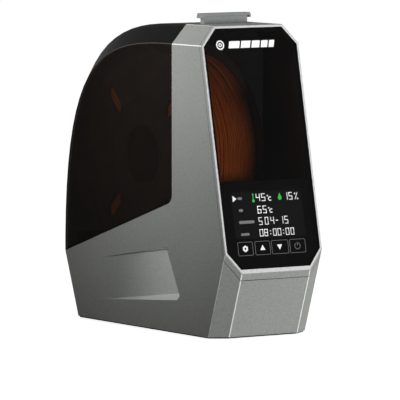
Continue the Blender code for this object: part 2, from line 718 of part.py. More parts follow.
def make_rollers():
    for row, centre in (("front", roller_centre(True)), ("rear", roller_centre(False))):
        axle = cylinder("axle_" + row, AXLE_RADIUS, 2 * AXLE_HALF, centre, STEEL, turn=ALONG_X, sides=20)
        moving = [axle]
        for side, word in ((-1, "left"), (1, "right")):
            middle = centre + Vector((side * (SPOOL_HALF - FLANGE_THICK / 2), 0, 0))
            half, edge = ROLLER_WIDE / 2, 1.2
            inner, outer = AXLE_RADIUS + GAP, ROLLER_RADIUS
            profile = [(outer - edge, half), (outer, half - edge), (outer, edge - half), (outer - edge, -half),
                       (inner, -half), (inner, half)]
            moving.append(turned("roller_%s_%s" % (row, word), profile, middle, RUBBER, turn=ALONG_X, sides=32))
        joint_axis("roller_axis_" + row, centre, *moving)


def make_spool():
    centre = Vector((0, SPOOL_Y, SPOOL_Z))
    moving = []
    for side, word in ((-1, "left"), (1, "right")):
        middle = centre + Vector((side * (SPOOL_HALF - FLANGE_THICK / 2), 0, 0))
        half, edge = FLANGE_THICK / 2, 0.8
        profile = [(SPOOL_RADIUS - edge, half), (SPOOL_RADIUS, half - edge), (SPOOL_RADIUS, edge - half),
                   (SPOOL_RADIUS - edge, -half), (SPOOL_BORE, -half), (SPOOL_BORE, half)]
        flange = turned("spool_flange_" + word, profile, middle, DARK, turn=ALONG_X, sides=64)
        for i in range(4):
            turn = Matrix.Rotation(math.radians(45 + 90 * i), 4, "X")
            frame = Matrix.Translation(middle * MM) @ turn
            wide = FLANGE_SLOT_WIDE / 2
            window = box("flange_window_%s_%d" % (word, i), (-10, -wide, FLANGE_SLOT_IN), (10, wide, FLANGE_SLOT_OUT),
                         frame=frame)
            round_edges(window, wide * 0.9)
            cut(flange, window)
        moving.append(flange)
    inside = SPOOL_HALF - FLANGE_THICK - GAP
    moving.append(turned("spool_core", ring_profile(SPOOL_BORE, SPOOL_CORE, inside), centre, DARK, turn=ALONG_X))
    moving.append(turned("filament_winding", ring_profile(SPOOL_CORE + GAP, WINDING_RADIUS, inside), centre,
                         FILAMENT, turn=ALONG_X, sides=64))
    joint_axis("spool_axis", centre, *moving)


def make_desiccant_tray():
    front, back = TRAY_BOX_Y
    low = FLOOR_Z + FLOOR_THICK + GAP
    wall = TRAY_BOX_WALL
    tray = box("desiccant_tray", (-TRAY_BOX_X, front, low), (TRAY_BOX_X, back, low + TRAY_BOX_TALL), DARK, bevel=1.0)
    hollow = box("desiccant_hollow", (-TRAY_BOX_X + wall, front + wall, low + wall),
                 (TRAY_BOX_X - wall, back - wall, low + 40))
    cut(tray, hollow)
    top = low + TRAY_BOX_TALL + GAP
    cover = box("desiccant_cover", (-TRAY_BOX_X, front, top), (TRAY_BOX_X, back, top + wall), DARK)
    for i in range(8):
        x = -TRAY_BOX_X + 8 + i * (2 * TRAY_BOX_X - 16) / 7
        cut(cover, box("cover_slot_%d" % i, (x - 1.5, front + 8, top - 5), (x + 1.5, back - 8, top + 5)))
    joint_axis("desiccant_lift", (0, (front + back) / 2, low), tray, cover)


def make_sensor():
    low = FLOOR_Z + FLOOR_THICK + GAP
    half, (front, back), tall = SENSOR_HALF, SENSOR_Y, SENSOR_TALL
    sensor = box("humidity_sensor", (-half, front, low), (half, back, low + tall), DARK, bevel=0.8)
    for i in (-1, 0, 1):
        x = i * half / 2
        cut(sensor, box("sensor_slot_%d" % (i + 1), (x - 0.8, front - 9, low + 2.5), (x + 0.8, front + 4, low + 7)))


# ---------------------------------------------------------------- warm air and power, under the floor

def make_fan():
    half, middle_z = FAN_SIDE / 2, FAN_Z + FAN_THICK / 2
    middle = Vector((0, SPOOL_Y, middle_z))
    frame = box("fan_housing", (-half, SPOOL_Y - half, FAN_Z), (half, SPOOL_Y + half, FAN_Z + FAN_THICK), BLACK,
                bevel=2.0)
    cut(frame, cylinder("fan_bore", FAN_BORE, 60, middle, sides=40))
    motor = cylinder("fan_motor", FAN_HUB, MOTOR_TALL, (0, SPOOL_Y, FAN_Z + MOTOR_TALL / 2), sides=24)
    for i in range(FAN_STRUTS):
        turn = Matrix.Translation((0, SPOOL_Y * MM, 0)) @ Matrix.Rotation(math.tau * i / FAN_STRUTS + 0.5, 4, "Z")
        wide = STRUT_WIDE / 2
        strut = box("fan_strut_%d" % i, (FAN_HUB / 2, -wide, FAN_Z + GAP), (FAN_BORE + 2, wide,
                    FAN_Z + MOTOR_TALL - GAP), frame=turn)
        join(frame, strut)
    join(frame, motor)
    cup_low = FAN_Z + MOTOR_TALL + SUNK
    hub_tall = FAN_THICK - 2 * MOTOR_TALL
    impeller = cylinder("fan_impeller", FAN_HUB, hub_tall, (0, SPOOL_Y, cup_low + hub_tall / 2), DARK, sides=28)
    for i in range(FAN_BLADES):
        spin = Matrix.Rotation(math.tau * i / FAN_BLADES, 4, "Z")
        pitch = Matrix.Rotation(BLADE_PITCH, 4, "X")
        place = Matrix.Translation(Vector((0, SPOOL_Y, cup_low + hub_tall / 2)) * MM) @ spin @ pitch
        blade = box("fan_blade_%d" % i, (FAN_HUB - 1.5, -BLADE_CHORD / 2, -BLADE_THICK / 2),
                    (FAN_HUB - 1.5 + BLADE_LONG, BLADE_CHORD / 2, BLADE_THICK / 2), frame=place)
        join(impeller, blade)
    joint_axis("fan_axis", middle, impeller)


def make_heater():
    half = FAN_SIDE / 2 - DUCT_WALL - 1
    low = FAN_Z + FAN_THICK + 3
    high = low + HEATER_TALL
    heater = box("heater_core", (-half, SPOOL_Y - half, low), (half, SPOOL_Y + half, high), HEAT)
    cut(heater, box("heater_hollow", (-half + 3, SPOOL_Y - half + 3, low - 9), (half - 3, SPOOL_Y + half - 3,
                    high + 9)))
    for i in range(HEATER_FINS):
        x = (i - (HEATER_FINS - 1) / 2) * (2 * half - 6) / HEATER_FINS
        join(heater, box("heater_fin_%d" % i, (x - 0.6, SPOOL_Y - half + 1, low + 1), (x + 0.6, SPOOL_Y + half - 1,
                         high - 1)))
    outer = FAN_SIDE / 2
    duct_low, duct_high = FAN_Z + FAN_THICK + GAP, FLOOR_Z - GAP
    duct = box("heater_duct", (-outer, SPOOL_Y - outer, duct_low), (outer, SPOOL_Y + outer, duct_high), BLACK)
    inner = outer - DUCT_WALL
    cut(duct, box("duct_hollow", (-inner, SPOOL_Y - inner, duct_low - 9), (inner, SPOOL_Y + inner, duct_high + 9)))


def make_power():
    top = POWER_Z + THIN
    board = box("power_board", (POWER_X[0], POWER_Y[0], POWER_Z), (POWER_X[1], POWER_Y[1], top), BOARD)
    for i, ((x, y), (wide, long), tall) in enumerate(POWER_BLOCKS):
        join(board, box("power_block_%d" % i, (x, y, top - SUNK), (x + wide, y + long, top + tall)))
    frame = rear_frame(INLET_UP)
    jack = cylinder("power_inlet", INLET_RADIUS, INLET_DEPTH, (INLET_X, 0, -INLET_DEPTH / 2), BLACK, frame=frame,
                    sides=28)
    flange = cylinder("inlet_flange", INLET_RADIUS + 2.5, 2.0, (INLET_X, 0, -WALL - GAP - 1.2), frame=frame, sides=28)
    socket = cylinder("inlet_socket", INLET_SOCKET, 20, (INLET_X, 0, 0), frame=frame, sides=24)
    contact = cylinder("inlet_contact", INLET_CONTACT, 9.0, (INLET_X, 0, -6.0), frame=frame, sides=12)
    join(jack, flange)
    cut(jack, socket)
    join(jack, contact)


# ---------------------------------------------------------------- filament outlet on the frame

def make_outlet():
    across, deep = PLUG_NECK
    front, back = plug_span(deep)
    plug = box("outlet_plug", (-across / 2, front, TOP_Z - PLUG_STEM), (across / 2, back, TOP_Z + PLUG_NECK_TALL + 1),
               SILICONE)
    wide, long = PLUG_HEAD
    head_front, head_back = plug_span(long)
    head_low = TOP_Z + PLUG_NECK_TALL
    head = box("plug_head", (-wide / 2, head_front, head_low), (wide / 2, head_back, head_low + PLUG_HEAD_TALL),
               bevel=0.6)
    join(plug, head)
    for side in (-1, 1):
        edge = side * wide / 2
        inner = edge - side * PLUG_LIP_WIDE
        lip = box("plug_lip_%d" % side, (min(edge, inner), head_front, head_low - PLUG_LIP),
                  (max(edge, inner), head_back, head_low + 1))
        join(plug, lip)
    joint_axis("plug_pull", (0, (front + back) / 2, TOP_Z), plug)
    top = TOP_Z - WALL - GAP
    insert = box("outlet_insert", (-across / 2 - INSERT_RIM, front - INSERT_RIM, top - INSERT_TALL),
                 (across / 2 + INSERT_RIM, back + PLUG_LIP_WIDE - GAP, top), BLACK)
    cut(insert, plug_slot("insert_plug_slot"))


# ---------------------------------------------------------------- lid, hinge and seal

def make_lid():
    lid = trimmed("lid_shell", housing_planes(), SMOKE)
    round_edges(lid, EDGE)
    keep(lid, lid_space("lid_space_kept", PARTING_GAP))
    cut(lid, trimmed("lid_inside", housing_planes(WALL)))
    cut(lid, cylinder("lid_knuckle_room", KNUCKLE_RADIUS + KNUCKLE_ROOM, hinge_length() + 4 * GAP, hinge_centre(),
                      turn=ALONG_X))
    seal = trimmed("lid_seal", housing_planes(WALL + GAP), RUBBER)
    cut(seal, trimmed("seal_inside", housing_planes(WALL + GAP + SEAL_THICK)))
    keep(seal, lid_space("seal_band_low", -SEAL_BELOW))
    cut(seal, lid_space("seal_band_high", SEAL_ABOVE))
    half = hinge_length() / 2 + 5 * GAP
    rear = rear_point(parting_z(REAR_Y))
    cut(seal, swing_room("seal_swing_room"), box("seal_hinge_room", rear + Vector((-half, -25, -30)),
                                                 rear + Vector((half, 5, 30))))
    return lid


def make_hinge():
    centre = hinge_centre()
    length = hinge_length()
    lean = math.atan(REAR_SLOPE)
    cylinder("hinge_pin", PIN_RADIUS, length + 1.0, centre, STEEL, turn=ALONG_X, sides=16)
    pin_room = cylinder("pin_room", PIN_RADIUS + GAP, length + 40, centre, turn=ALONG_X, sides=16)
    leaves = {}
    upright = Matrix.Translation(centre * MM)
    drop = (centre.z - FLOOR_Z - FLOOR_THICK - 2 * GAP) / math.cos(lean) - 1.0
    leaves["base"] = box("hinge_leaf_base", (-length / 2, -LEAF_SINK, -drop), (length / 2, LEAF_THICK - LEAF_SINK,
                         -1.0), DARK, frame=upright @ Matrix.Rotation(-lean, 4, "X"))
    outer = REAR_Y - WALL - GAP - centre.y
    leaves["lid"] = box("hinge_leaf_lid", (-length / 2, outer - LEAF_THICK, 1.0), (length / 2, outer, LID_LEAF_LONG),
                        DARK, frame=upright)
    for i in range(KNUCKLE_COUNT):
        word, other = ("base", "lid") if i % 2 == 0 else ("lid", "base")
        middle = centre + Vector((-length / 2 + (i + 0.5) * KNUCKLE_LENGTH, 0, 0))
        knuckle = cylinder("knuckle_%d" % i, KNUCKLE_RADIUS, KNUCKLE_LENGTH - 2 * GAP, middle, turn=ALONG_X, sides=20)
        room = cylinder("knuckle_clear_%d" % i, KNUCKLE_RADIUS + 2 * GAP, KNUCKLE_LENGTH + 0.02, middle,
                        turn=ALONG_X, sides=20)
        cut(leaves[other], room)
        join(leaves[word], knuckle)
    for leaf in leaves.values():
        cut(leaf, pin_room)
    return centre, leaves["lid"]


def main():
    make_housing()
    make_bottom()
    make_front()
    make_floor()
    make_brackets()
    make_rollers()
    make_spool()
    make_desiccant_tray()
    make_sensor()
    make_fan()
    make_heater()
    make_power()
    make_outlet()
    lid = make_lid()
    centre, lid_leaf = make_hinge()
    joint_axis("lid_hinge", centre, lid, lid_leaf)


main()
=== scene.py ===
"""Looks of the filament dryer box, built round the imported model. Metres, in the model's own frame."""
import json
import math
import random

import bmesh
import bpy
from mathutils import Matrix, Vector


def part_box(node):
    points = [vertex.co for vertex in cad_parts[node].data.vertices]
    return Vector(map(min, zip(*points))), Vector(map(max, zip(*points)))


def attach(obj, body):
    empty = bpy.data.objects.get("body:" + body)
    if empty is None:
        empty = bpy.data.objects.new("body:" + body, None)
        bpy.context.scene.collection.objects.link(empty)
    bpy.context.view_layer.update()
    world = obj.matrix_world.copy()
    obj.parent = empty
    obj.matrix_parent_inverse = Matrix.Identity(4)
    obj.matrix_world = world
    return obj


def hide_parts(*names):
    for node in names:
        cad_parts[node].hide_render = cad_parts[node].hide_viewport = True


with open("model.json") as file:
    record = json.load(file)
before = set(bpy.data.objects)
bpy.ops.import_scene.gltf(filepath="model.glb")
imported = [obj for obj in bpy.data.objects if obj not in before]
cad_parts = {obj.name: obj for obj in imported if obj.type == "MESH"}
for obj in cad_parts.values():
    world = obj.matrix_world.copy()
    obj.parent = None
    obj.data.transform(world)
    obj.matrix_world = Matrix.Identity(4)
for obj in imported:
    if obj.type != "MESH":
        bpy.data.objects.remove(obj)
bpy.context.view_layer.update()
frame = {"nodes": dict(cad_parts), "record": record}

NODES = frame["nodes"]
MM = 0.001

# The front panel: its nose line and tilt. Depths on it are measured out of its face.
NOSE = (0.0, -0.1455, 0.0605)
PANEL_UP = math.radians(78.26)
PANEL = Matrix.Translation(NOSE) @ Matrix.Rotation(PANEL_UP, 4, "X")
TO_PANEL = PANEL.inverted()
PANEL_OUT = PANEL.to_3x3() @ Vector((0, 0, 1))
PANEL_MIDDLE = Vector((0, 110 * MM))    # on the panel, inside the glass

# Layers of the display under the glass, and the print on top of it
FIGURE_DEPTH, FIGURE_THICK = -2.05 * MM, 0.12 * MM
FIELD_DEPTH, MASK_DEPTH, FILM_THICK = -2.18 * MM, -2.24 * MM, 0.04 * MM
PRINT_DEPTH, PRINT_THICK = 0.06 * MM, 0.05 * MM

# Flats along the creases: no wider than this, and not part of a face broader than this
CREASE_FLAT = 1.15 * MM
BROAD_AREA = 250 * MM * MM

STRAND = 1.75 * MM

# The spool, from its CAD nodes
core_low, core_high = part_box("spool_core")
SPOOL = (core_low + core_high) / 2


# ---------------------------------------------------------------- camera, floor and light

CAMERA_PLACE = (-2.5154, -3.8325, 0.4984)
CAMERA_DIP, CAMERA_TURN = 4.777, 33.424     # degrees down from level, and round from straight ahead
FLOOR_REACH = 30.0


def aim(obj, at):
    obj.rotation_euler = (Vector(at) - obj.location).to_track_quat("-Z", "Y").to_euler()


def add_camera():
    lens = bpy.data.cameras.new("camera")
    lens.lens = 450
    lens.sensor_width = 36
    lens.clip_end = 100
    camera = bpy.data.objects.new("camera", lens)
    camera.location = CAMERA_PLACE
    camera.rotation_euler = (math.radians(90 - CAMERA_DIP), 0, -math.radians(CAMERA_TURN))
    bpy.context.scene.collection.objects.link(camera)
    bpy.context.scene.camera = camera


def add_light(light, place, at, power, glossy):
    """Without glossy, the light doesn't show in reflections."""
    light.energy = power
    obj = bpy.data.objects.new(light.name, light)
    obj.location = place
    obj.visible_glossy = glossy
    bpy.context.scene.collection.objects.link(obj)
    aim(obj, at)


def add_area(name, place, at, wide, tall, power, glossy=False):
    light = bpy.data.lights.new(name, "AREA")
    light.shape = "RECTANGLE"
    light.size, light.size_y = wide, tall
    add_light(light, place, at, power, glossy)


def add_spot(name, place, at, angle, radius, power):
    light = bpy.data.lights.new(name, "SPOT")
    light.spot_size = math.radians(angle)
    light.spot_blend = 1.0
    light.shadow_soft_size = radius
    add_light(light, place, at, power, False)


def add_studio():
    scene = bpy.context.scene
    scene.view_settings.view_transform = "Standard"
    world = bpy.data.worlds.new("studio")
    scene.world = world
    world.use_nodes = True
    sky = world.node_tree.nodes["Background"]
    sky.inputs["Color"].default_value = (1.0, 1.0, 1.0, 1.0)
    sky.inputs["Strength"].default_value = 0.17

    mesh = bpy.data.meshes.new("floor")
    reach = FLOOR_REACH
    mesh.from_pydata([(-reach, -reach, 0), (reach, -reach, 0), (reach, reach, 0), (-reach, reach, 0)], [],
                     [(0, 1, 2, 3)])
    floor = bpy.data.objects.new("floor", mesh)
    floor.location.z = -0.0002
    scene.collection.objects.link(floor)
    mesh.materials.append(floor_look())

    add_area("overhead", (0.0, 0.4, 2.6), (0, 0, 0), 3.0, 3.0, 4, glossy=True)
    add_spot("key", (-1.35, -0.12, 0.62), (-0.05, -0.04, 0.29), 21, 0.16, 103)
    add_area("front", (1.15, -2.2, 0.16), (0, 0, 0.10), 0.8, 0.5, 82)


def floor_look():
    """Pale sheet that throws little light back up at the object, or through its windows."""
    made = bpy.data.materials.new("studio_sheet")
    made.use_nodes = True
    nodes, links = made.node_tree.nodes, made.node_tree.links
    shader = nodes["Principled BSDF"]
    shader.inputs["Roughness"].default_value = 1.0
    shader.inputs["Specular IOR Level"].default_value = 0.0
    shader.inputs["Base Color"].default_value = (0.97, 0.97, 0.97, 1.0)
    shader.inputs["Emission Color"].default_value = (1.0, 1.0, 1.0, 1.0)
    shader.inputs["Emission Strength"].default_value = 0.84
    path = nodes.new("ShaderNodeLightPath")
    direct = nodes.new("ShaderNodeMapRange")
    direct.inputs["To Min"].default_value = 1.0
    direct.inputs["To Max"].default_value = 0.0
    links.new(path.outputs["Transparent Depth"], direct.inputs["Value"])
    seen = nodes.new("ShaderNodeMath")
    seen.operation = "MULTIPLY"
    links.new(direct.outputs["Result"], seen.inputs[0])
    links.new(path.outputs["Is Camera Ray"], seen.inputs[1])
    dim = nodes.new("ShaderNodeBsdfDiffuse")
    dim.inputs["Color"].default_value = (0.22, 0.22, 0.22, 1.0)
    mix = nodes.new("ShaderNodeMixShader")
    links.new(seen.outputs[0], mix.inputs["Fac"])
    links.new(dim.outputs[0], mix.inputs[1])
    links.new(shader.outputs[0], mix.inputs[2])
    links.new(mix.outputs[0], nodes["Material Output"].inputs["Surface"])
    return made


# ---------------------------------------------------------------- finishes

def look(name, dark, light, rough=(0.4, 0.5), grain=900.0, tone=14.0, bump=0.0, bump_grain=1500.0, depth=0.05,
         stretch=(1, 1, 1), cells=False, **sockets):
    """A finish whose colour and roughness wander between two values, with a slow drift and a fine relief.

    grain, tone and bump_grain are repeats per metre, depth is the relief in millimetres, and sockets set the
    shader's own values by name, with _ for a space.
    """
    made = bpy.data.materials.new(name)
    made.use_nodes = True
    nodes, links = made.node_tree.nodes, made.node_tree.links
    shader = nodes["Principled BSDF"]
    where = nodes.new("ShaderNodeTexCoord")
    fit = nodes.new("ShaderNodeMapping")
    fit.inputs["Scale"].default_value = stretch
    links.new(where.outputs["Object"], fit.inputs["Vector"])

    if cells:
        fine = nodes.new("ShaderNodeTexVoronoi")
        fine.inputs["Scale"].default_value = grain
        split = nodes.new("ShaderNodeSeparateColor")
        links.new(fine.outputs["Color"], split.inputs["Color"])
        fine_out = split.outputs[0]
    else:
        fine = nodes.new("ShaderNodeTexNoise")
        fine.inputs["Scale"].default_value = grain
        fine.inputs["Detail"].default_value = 3.0
        fine_out = fine.outputs["Fac"]
    links.new(fit.outputs["Vector"], fine.inputs["Vector"])
    slow = nodes.new("ShaderNodeTexNoise")
    slow.inputs["Scale"].default_value = tone
    slow.inputs["Detail"].default_value = 2.0
    links.new(where.outputs["Object"], slow.inputs["Vector"])
    blend = nodes.new("ShaderNodeMix")
    blend.inputs["Factor"].default_value = 0.35
    links.new(fine_out, blend.inputs["A"])
    links.new(slow.outputs["Fac"], blend.inputs["B"])

    ramp = nodes.new("ShaderNodeValToRGB")
    ramp.color_ramp.elements[0].position = 0.25
    ramp.color_ramp.elements[1].position = 0.75
    ramp.color_ramp.elements[0].color = (*dark, 1.0)
    ramp.color_ramp.elements[1].color = (*light, 1.0)
    links.new(blend.outputs["Result"], ramp.inputs["Fac"])
    links.new(ramp.outputs["Color"], shader.inputs["Base Color"])

    spread = nodes.new("ShaderNodeMapRange")
    spread.inputs["From Min"].default_value = 0.3
    spread.inputs["From Max"].default_value = 0.7
    spread.inputs["To Min"].default_value, spread.inputs["To Max"].default_value = rough
    links.new(blend.outputs["Result"], spread.inputs["Value"])
    links.new(spread.outputs["Result"], shader.inputs["Roughness"])

    if bump:
        relief = nodes.new("ShaderNodeTexNoise")
        relief.inputs["Scale"].default_value = bump_grain
        relief.inputs["Detail"].default_value = 2.0
        links.new(fit.outputs["Vector"], relief.inputs["Vector"])
        raise_up = nodes.new("ShaderNodeBump")
        raise_up.inputs["Strength"].default_value = bump
        raise_up.inputs["Distance"].default_value = depth * MM
        links.new(relief.outputs["Fac"], raise_up.inputs["Height"])
        links.new(raise_up.outputs["Normal"], shader.inputs["Normal"])

    for socket, value in sockets.items():
        shader.inputs[socket.replace("_", " ")].default_value = value
    return made


def node_of(made, kind):
    return next(node for node in made.node_tree.nodes if node.type == kind)


def fade_in(made, other, start, end):
    """The first finish turns into the other's colour along Y, for a face that runs out into its neighbour."""
    nodes, links = made.node_tree.nodes, made.node_tree.links
    where, ramp, theirs = node_of(made, "TEX_COORD"), node_of(made, "VALTORGB"), node_of(other, "VALTORGB")
    plain = nodes.new("ShaderNodeValToRGB")
    for mine, its in zip(plain.color_ramp.elements, theirs.color_ramp.elements):
        mine.position, mine.color = its.position, its.color
    links.new(ramp.inputs["Fac"].links[0].from_socket, plain.inputs["Fac"])
    axes = nodes.new("ShaderNodeSeparateXYZ")
    links.new(where.outputs["Object"], axes.inputs["Vector"])
    along = nodes.new("ShaderNodeMapRange")
    along.interpolation_type = "SMOOTHSTEP"
    along.inputs["From Min"].default_value, along.inputs["From Max"].default_value = start, end
    links.new(axes.outputs["Y"], along.inputs["Value"])
    mix = nodes.new("ShaderNodeMix")
    mix.data_type = "RGBA"
    links.new(along.outputs["Result"], mix.inputs["Factor"])
    links.new(ramp.outputs["Color"], mix.inputs["A"])
    links.new(plain.outputs["Color"], mix.inputs["B"])
    links.new(mix.outputs["Result"], nodes["Principled BSDF"].inputs["Base Color"])


def glow(name, colour, strength):
    made = look(name, tuple(0.8 * c for c in colour), colour, rough=(0.5, 0.6), grain=2500)
    shader = made.node_tree.nodes["Principled BSDF"]
    made.node_tree.links.new(node_of(made, "VALTORGB").outputs["Color"], shader.inputs["Emission Color"])
    shader.inputs["Emission Strength"].default_value = strength
    return made


def board_look():
    """Green solder mask with lighter tracks running under it."""
    made = look("circuit_board", (0.008, 0.06, 0.025), (0.015, 0.11, 0.045), rough=(0.3, 0.42), grain=700, bump=0.2)
    nodes, links = made.node_tree.nodes, made.node_tree.links
    tracks = nodes.new("ShaderNodeTexBrick")
    tracks.inputs["Scale"].default_value = 160
    tracks.inputs["Mortar Size"].default_value = 0.04
    tracks.inputs["Color1"].default_value = tracks.inputs["Color2"].default_value = (0.0, 0.0, 0.0, 1.0)
    tracks.inputs["Mortar"].default_value = (1.0, 1.0, 1.0, 1.0)
    links.new(node_of(made, "TEX_COORD").outputs["Object"], tracks.inputs["Vector"])
    mix = nodes.new("ShaderNodeMix")
    mix.data_type = "RGBA"
    links.new(tracks.outputs["Color"], mix.inputs["Factor"])
    links.new(node_of(made, "VALTORGB").outputs["Color"], mix.inputs["A"])
    mix.inputs["B"].default_value = (0.04, 0.22, 0.09, 1.0)
    links.new(mix.outputs["Result"], nodes["Principled BSDF"].inputs["Base Color"])
    return made


PAINT = look("silver_paint", (0.350, 0.363, 0.342), (0.475, 0.489, 0.465), rough=(0.36, 0.50), grain=1700, tone=9,
             bump=0.35, bump_grain=2600, depth=0.02, cells=True, Metallic=0.35)
# Painted light: a lighter copy of the silver paint for the floors of the side scoops.
SCOOP_PAINTED_LIGHT = look("scoop_painted_light", (0.700, 0.728, 0.692), (0.860, 0.885, 0.850), rough=(0.36, 0.50), grain=1700,
                   tone=9, bump=0.35, bump_grain=2600, depth=0.02, cells=True, Metallic=0.35)
# Painted highlight: a near-white copy of the paint for the scoop ledges and the walls under the overhang, against
# their shadow.
SCOOP_LEDGE_HIGHLIGHT = look("scoop_ledge_highlight", (0.86, 0.88, 0.85), (0.96, 0.98, 0.95), rough=(0.3, 0.42), grain=1700,
                   bump=0.2, bump_grain=2600, depth=0.02, cells=True, Metallic=0.1)
# The scoops' painted light and painted highlight fade back into the plain paint towards the rear.
fade_in(SCOOP_PAINTED_LIGHT, PAINT, -0.045, 0.05)
fade_in(SCOOP_LEDGE_HIGHLIGHT, PAINT, -0.030, 0.06)
# Painted highlight: a near-white copy of the paint for the flats along the creases.
PAINTED_CREASE_HIGHLIGHT = look("painted_crease_highlight", (0.88, 0.89, 0.87), (0.98, 0.99, 0.96), rough=(0.35, 0.45), grain=1700,
                  bump=0.2, bump_grain=2600, depth=0.02, cells=True, Metallic=0.1)
TRIM = look("bright_trim", (0.620, 0.614, 0.626), (0.720, 0.714, 0.726), rough=(0.24, 0.34), grain=1200,
            stretch=(1, 0.2, 0.2), bump=0.05, bump_grain=3000, depth=0.01, Metallic=0.2)
GLASS = look("tinted_glass", (0.004, 0.004, 0.004), (0.006, 0.006, 0.006), rough=(0.05, 0.09), grain=40, tone=6,
             Alpha=0.42, Specular_IOR_Level=0.12)
SMOKE = look("smoked_plastic", (0.010, 0.0075, 0.0066), (0.016, 0.0120, 0.0100), rough=(0.10, 0.17), grain=55,
             tone=7, bump=0.06, bump_grain=30, depth=0.1, Alpha=0.55, Specular_IOR_Level=0.18)
# Painted shade: a darker, more opaque copy of the smoked plastic for the lid's top and chamfers.
SMOKE_TOP_SHADE = look("smoked_top_painted_shade", (0.0050, 0.0046, 0.0046), (0.0085, 0.0080, 0.0080), rough=(0.08, 0.15), grain=55,
                 tone=7, bump=0.06, bump_grain=30, depth=0.1, Alpha=0.62, Specular_IOR_Level=0.22)
# Painted highlight: a lighter copy of the smoked plastic for the lid's side crease line.
SMOKE_CREASE_HIGHLIGHT = look("smoked_crease_highlight", (0.05, 0.047, 0.044), (0.09, 0.085, 0.080), rough=(0.12, 0.2), grain=300,
                  Alpha=0.8, Specular_IOR_Level=0.5)
BLACK = look("black_plastic", (0.006, 0.006, 0.006), (0.018, 0.018, 0.018), rough=(0.45, 0.65), bump=0.4,
             depth=0.04)
DARK = look("dark_plastic", (0.022, 0.022, 0.023), (0.045, 0.045, 0.046), rough=(0.42, 0.6), bump=0.4,
            depth=0.04)
SPOOL_PLASTIC = look("spool_plastic", (0.060, 0.046, 0.037), (0.095, 0.074, 0.060), rough=(0.35, 0.5), grain=240,
                     bump=0.3, depth=0.05)
FILAMENT = look("filament", (0.62, 0.135, 0.014), (0.90, 0.220, 0.022), rough=(0.22, 0.4), grain=260, tone=30,
                bump=0.2, bump_grain=700, stretch=(2.5, 0.3, 0.3), Coat_Weight=0.25)
RUBBER = look("rubber", (0.010, 0.010, 0.010), (0.030, 0.030, 0.030), rough=(0.75, 0.92), bump=0.7, depth=0.08)
STEEL = look("steel", (0.34, 0.34, 0.35), (0.62, 0.62, 0.63), rough=(0.2, 0.36), grain=1400, stretch=(0.08, 1, 1),
             bump=0.2, depth=0.01, Metallic=1.0)
SCREEN = look("screen", (0.024, 0.024, 0.024), (0.034, 0.034, 0.034), rough=(0.25, 0.35), grain=3000)
FINS = look("heater_fins", (0.40, 0.41, 0.42), (0.70, 0.71, 0.72), rough=(0.25, 0.42), grain=900,
            stretch=(1, 0.1, 1), bump=0.25, Metallic=0.95)
SILICONE = look("silicone", (0.170, 0.180, 0.178), (0.235, 0.247, 0.244), rough=(0.5, 0.66), grain=420, tone=40,
                bump=0.3, bump_grain=900, depth=0.06)
BOARD = board_look()
DARK_BOARD = look("touch_board_mask", (0.016, 0.016, 0.016), (0.024, 0.024, 0.024), rough=(0.35, 0.45), grain=700,
                  bump=0.2)
GLOW_WHITE = glow("glow_white", (1.0, 1.0, 1.0), 2.6)
GLOW_GREEN = glow("glow_green", (0.06, 0.62, 0.10), 2.2)
GLOW_GREY = glow("glow_grey", (0.42, 0.43, 0.43), 1.1)
GLOW_KEY = glow("glow_key", (0.40, 0.41, 0.41), 1.0)
LCD = glow("lcd_field", (0.0135, 0.0135, 0.0135), 1.0)
EMBLEM = look("emblem_print", (0.80, 0.81, 0.80), (0.92, 0.93, 0.92), rough=(0.45, 0.6), grain=1500)

SLOT_LOOKS = {
    "silver_paint": PAINT, "bright_trim": TRIM, "tinted_glass": GLASS, "smoked_plastic": SMOKE,
    "black_plastic": BLACK, "dark_plastic": DARK, "spool_plastic": SPOOL_PLASTIC, "filament": FILAMENT,
    "rubber": RUBBER, "steel": STEEL, "circuit_board": BOARD, "screen": SCREEN, "heater_fins": FINS,
    "silicone": SILICONE,
}


def dress_nodes():
    """Every CAD node takes the finish of its material slot; the board under the touch keys is black."""
    for part in frame["record"]["subparts"]:
        mesh = NODES[part["node"]].data
        mesh.materials.clear()
        mesh.materials.append(SLOT_LOOKS[part["material_slot"]])
    NODES["touch_board"].data.materials[0] = DARK_BOARD


def normal_key(face):
    return tuple(round(part, 2) for part in face.normal)


def thin_faces(mesh):
    """The faces no wider than CREASE_FLAT that aren't slivers of a broad face: the flats along the creases."""
    area = {}
    for face in mesh.polygons:
        area[normal_key(face)] = area.get(normal_key(face), 0.0) + face.area
    for face in mesh.polygons:
        if area[normal_key(face)] > BROAD_AREA:
            continue
        points = [mesh.vertices[i].co for i in face.vertices]
        longest = max((points[i] - points[i - 1]).length for i in range(len(points)))
        if 2 * face.area / longest < CREASE_FLAT:
            yield face


def dress_shell():
    """Painted highlights on the creases, dark inside and behind the bezel, and painted light in the side scoops and
    on their ledges.
    """
    mesh, outside = NODES["main_shell"].data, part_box("main_shell")
    for finish in (PAINTED_CREASE_HIGHLIGHT, DARK, SCOOP_PAINTED_LIGHT, SCOOP_LEDGE_HIGHLIGHT):
        mesh.materials.append(finish)
    crease_highlight, inside, scoop, ledge = 1, 2, 3, 4
    # Painted highlight on the crease flats of the outer skin.
    for face in thin_faces(mesh):
        if face_outward(face, outside) and on_shell_crease(face):
            face.material_index = crease_highlight
    for face in mesh.polygons:
        if face_inward(face, outside):
            face.material_index = inside
    # Painted light on the scoop floors, and painted highlight on the scoop ledges and the walls under the overhang.
    for face in mesh.polygons:
        if in_scoop(face, outside):
            face.material_index = scoop if abs(face.normal.z) < 0.2 else ledge
        elif face.normal.dot(PANEL_OUT) > 0.99:
            face.material_index = inside


